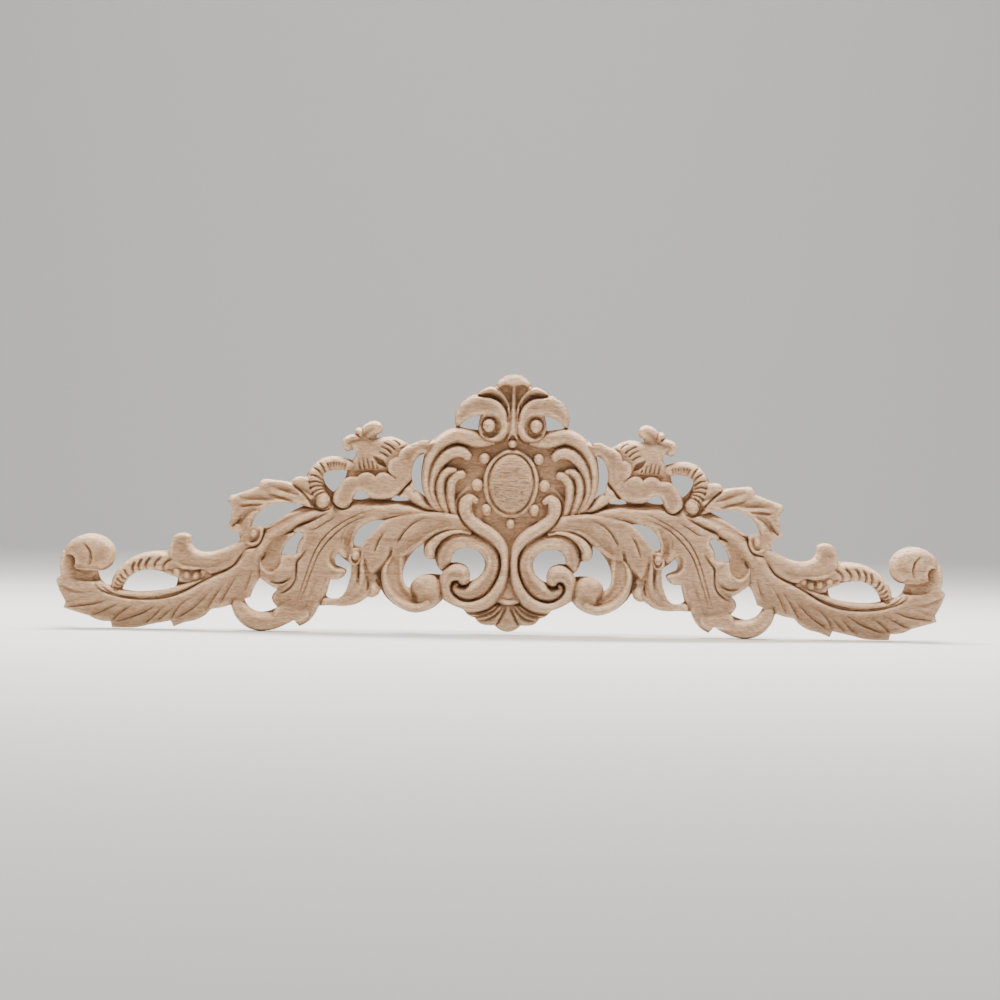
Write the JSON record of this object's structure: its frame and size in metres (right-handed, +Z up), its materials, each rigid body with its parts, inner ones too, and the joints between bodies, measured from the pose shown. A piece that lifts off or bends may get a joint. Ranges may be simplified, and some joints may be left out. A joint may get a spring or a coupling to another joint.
{
  "type": "carved wood applique",
  "caption": "Pierced carved wood applique: a crest and oval cabochon between mirrored scrolls, leaves, flowers and horns, flat at the back to be fixed on furniture or a wall.",
  "frame": {"origin": "on the flat back, behind the middle of the oval cabochon", "axes": "+X along the length, +Z up as it is mounted, +Y into the surface it is fixed to; the carving faces -Y"},
  "size_m": [0.6013, 0.0204, 0.1766],
  "materials": {
    "bare_wood": "unpainted pale hardwood, sanded and left bare, with a fine horizontal grain"
  },
  "bodies": {
    "root": {"carved_applique": "bare_wood"}
  },
  "joints": []
}
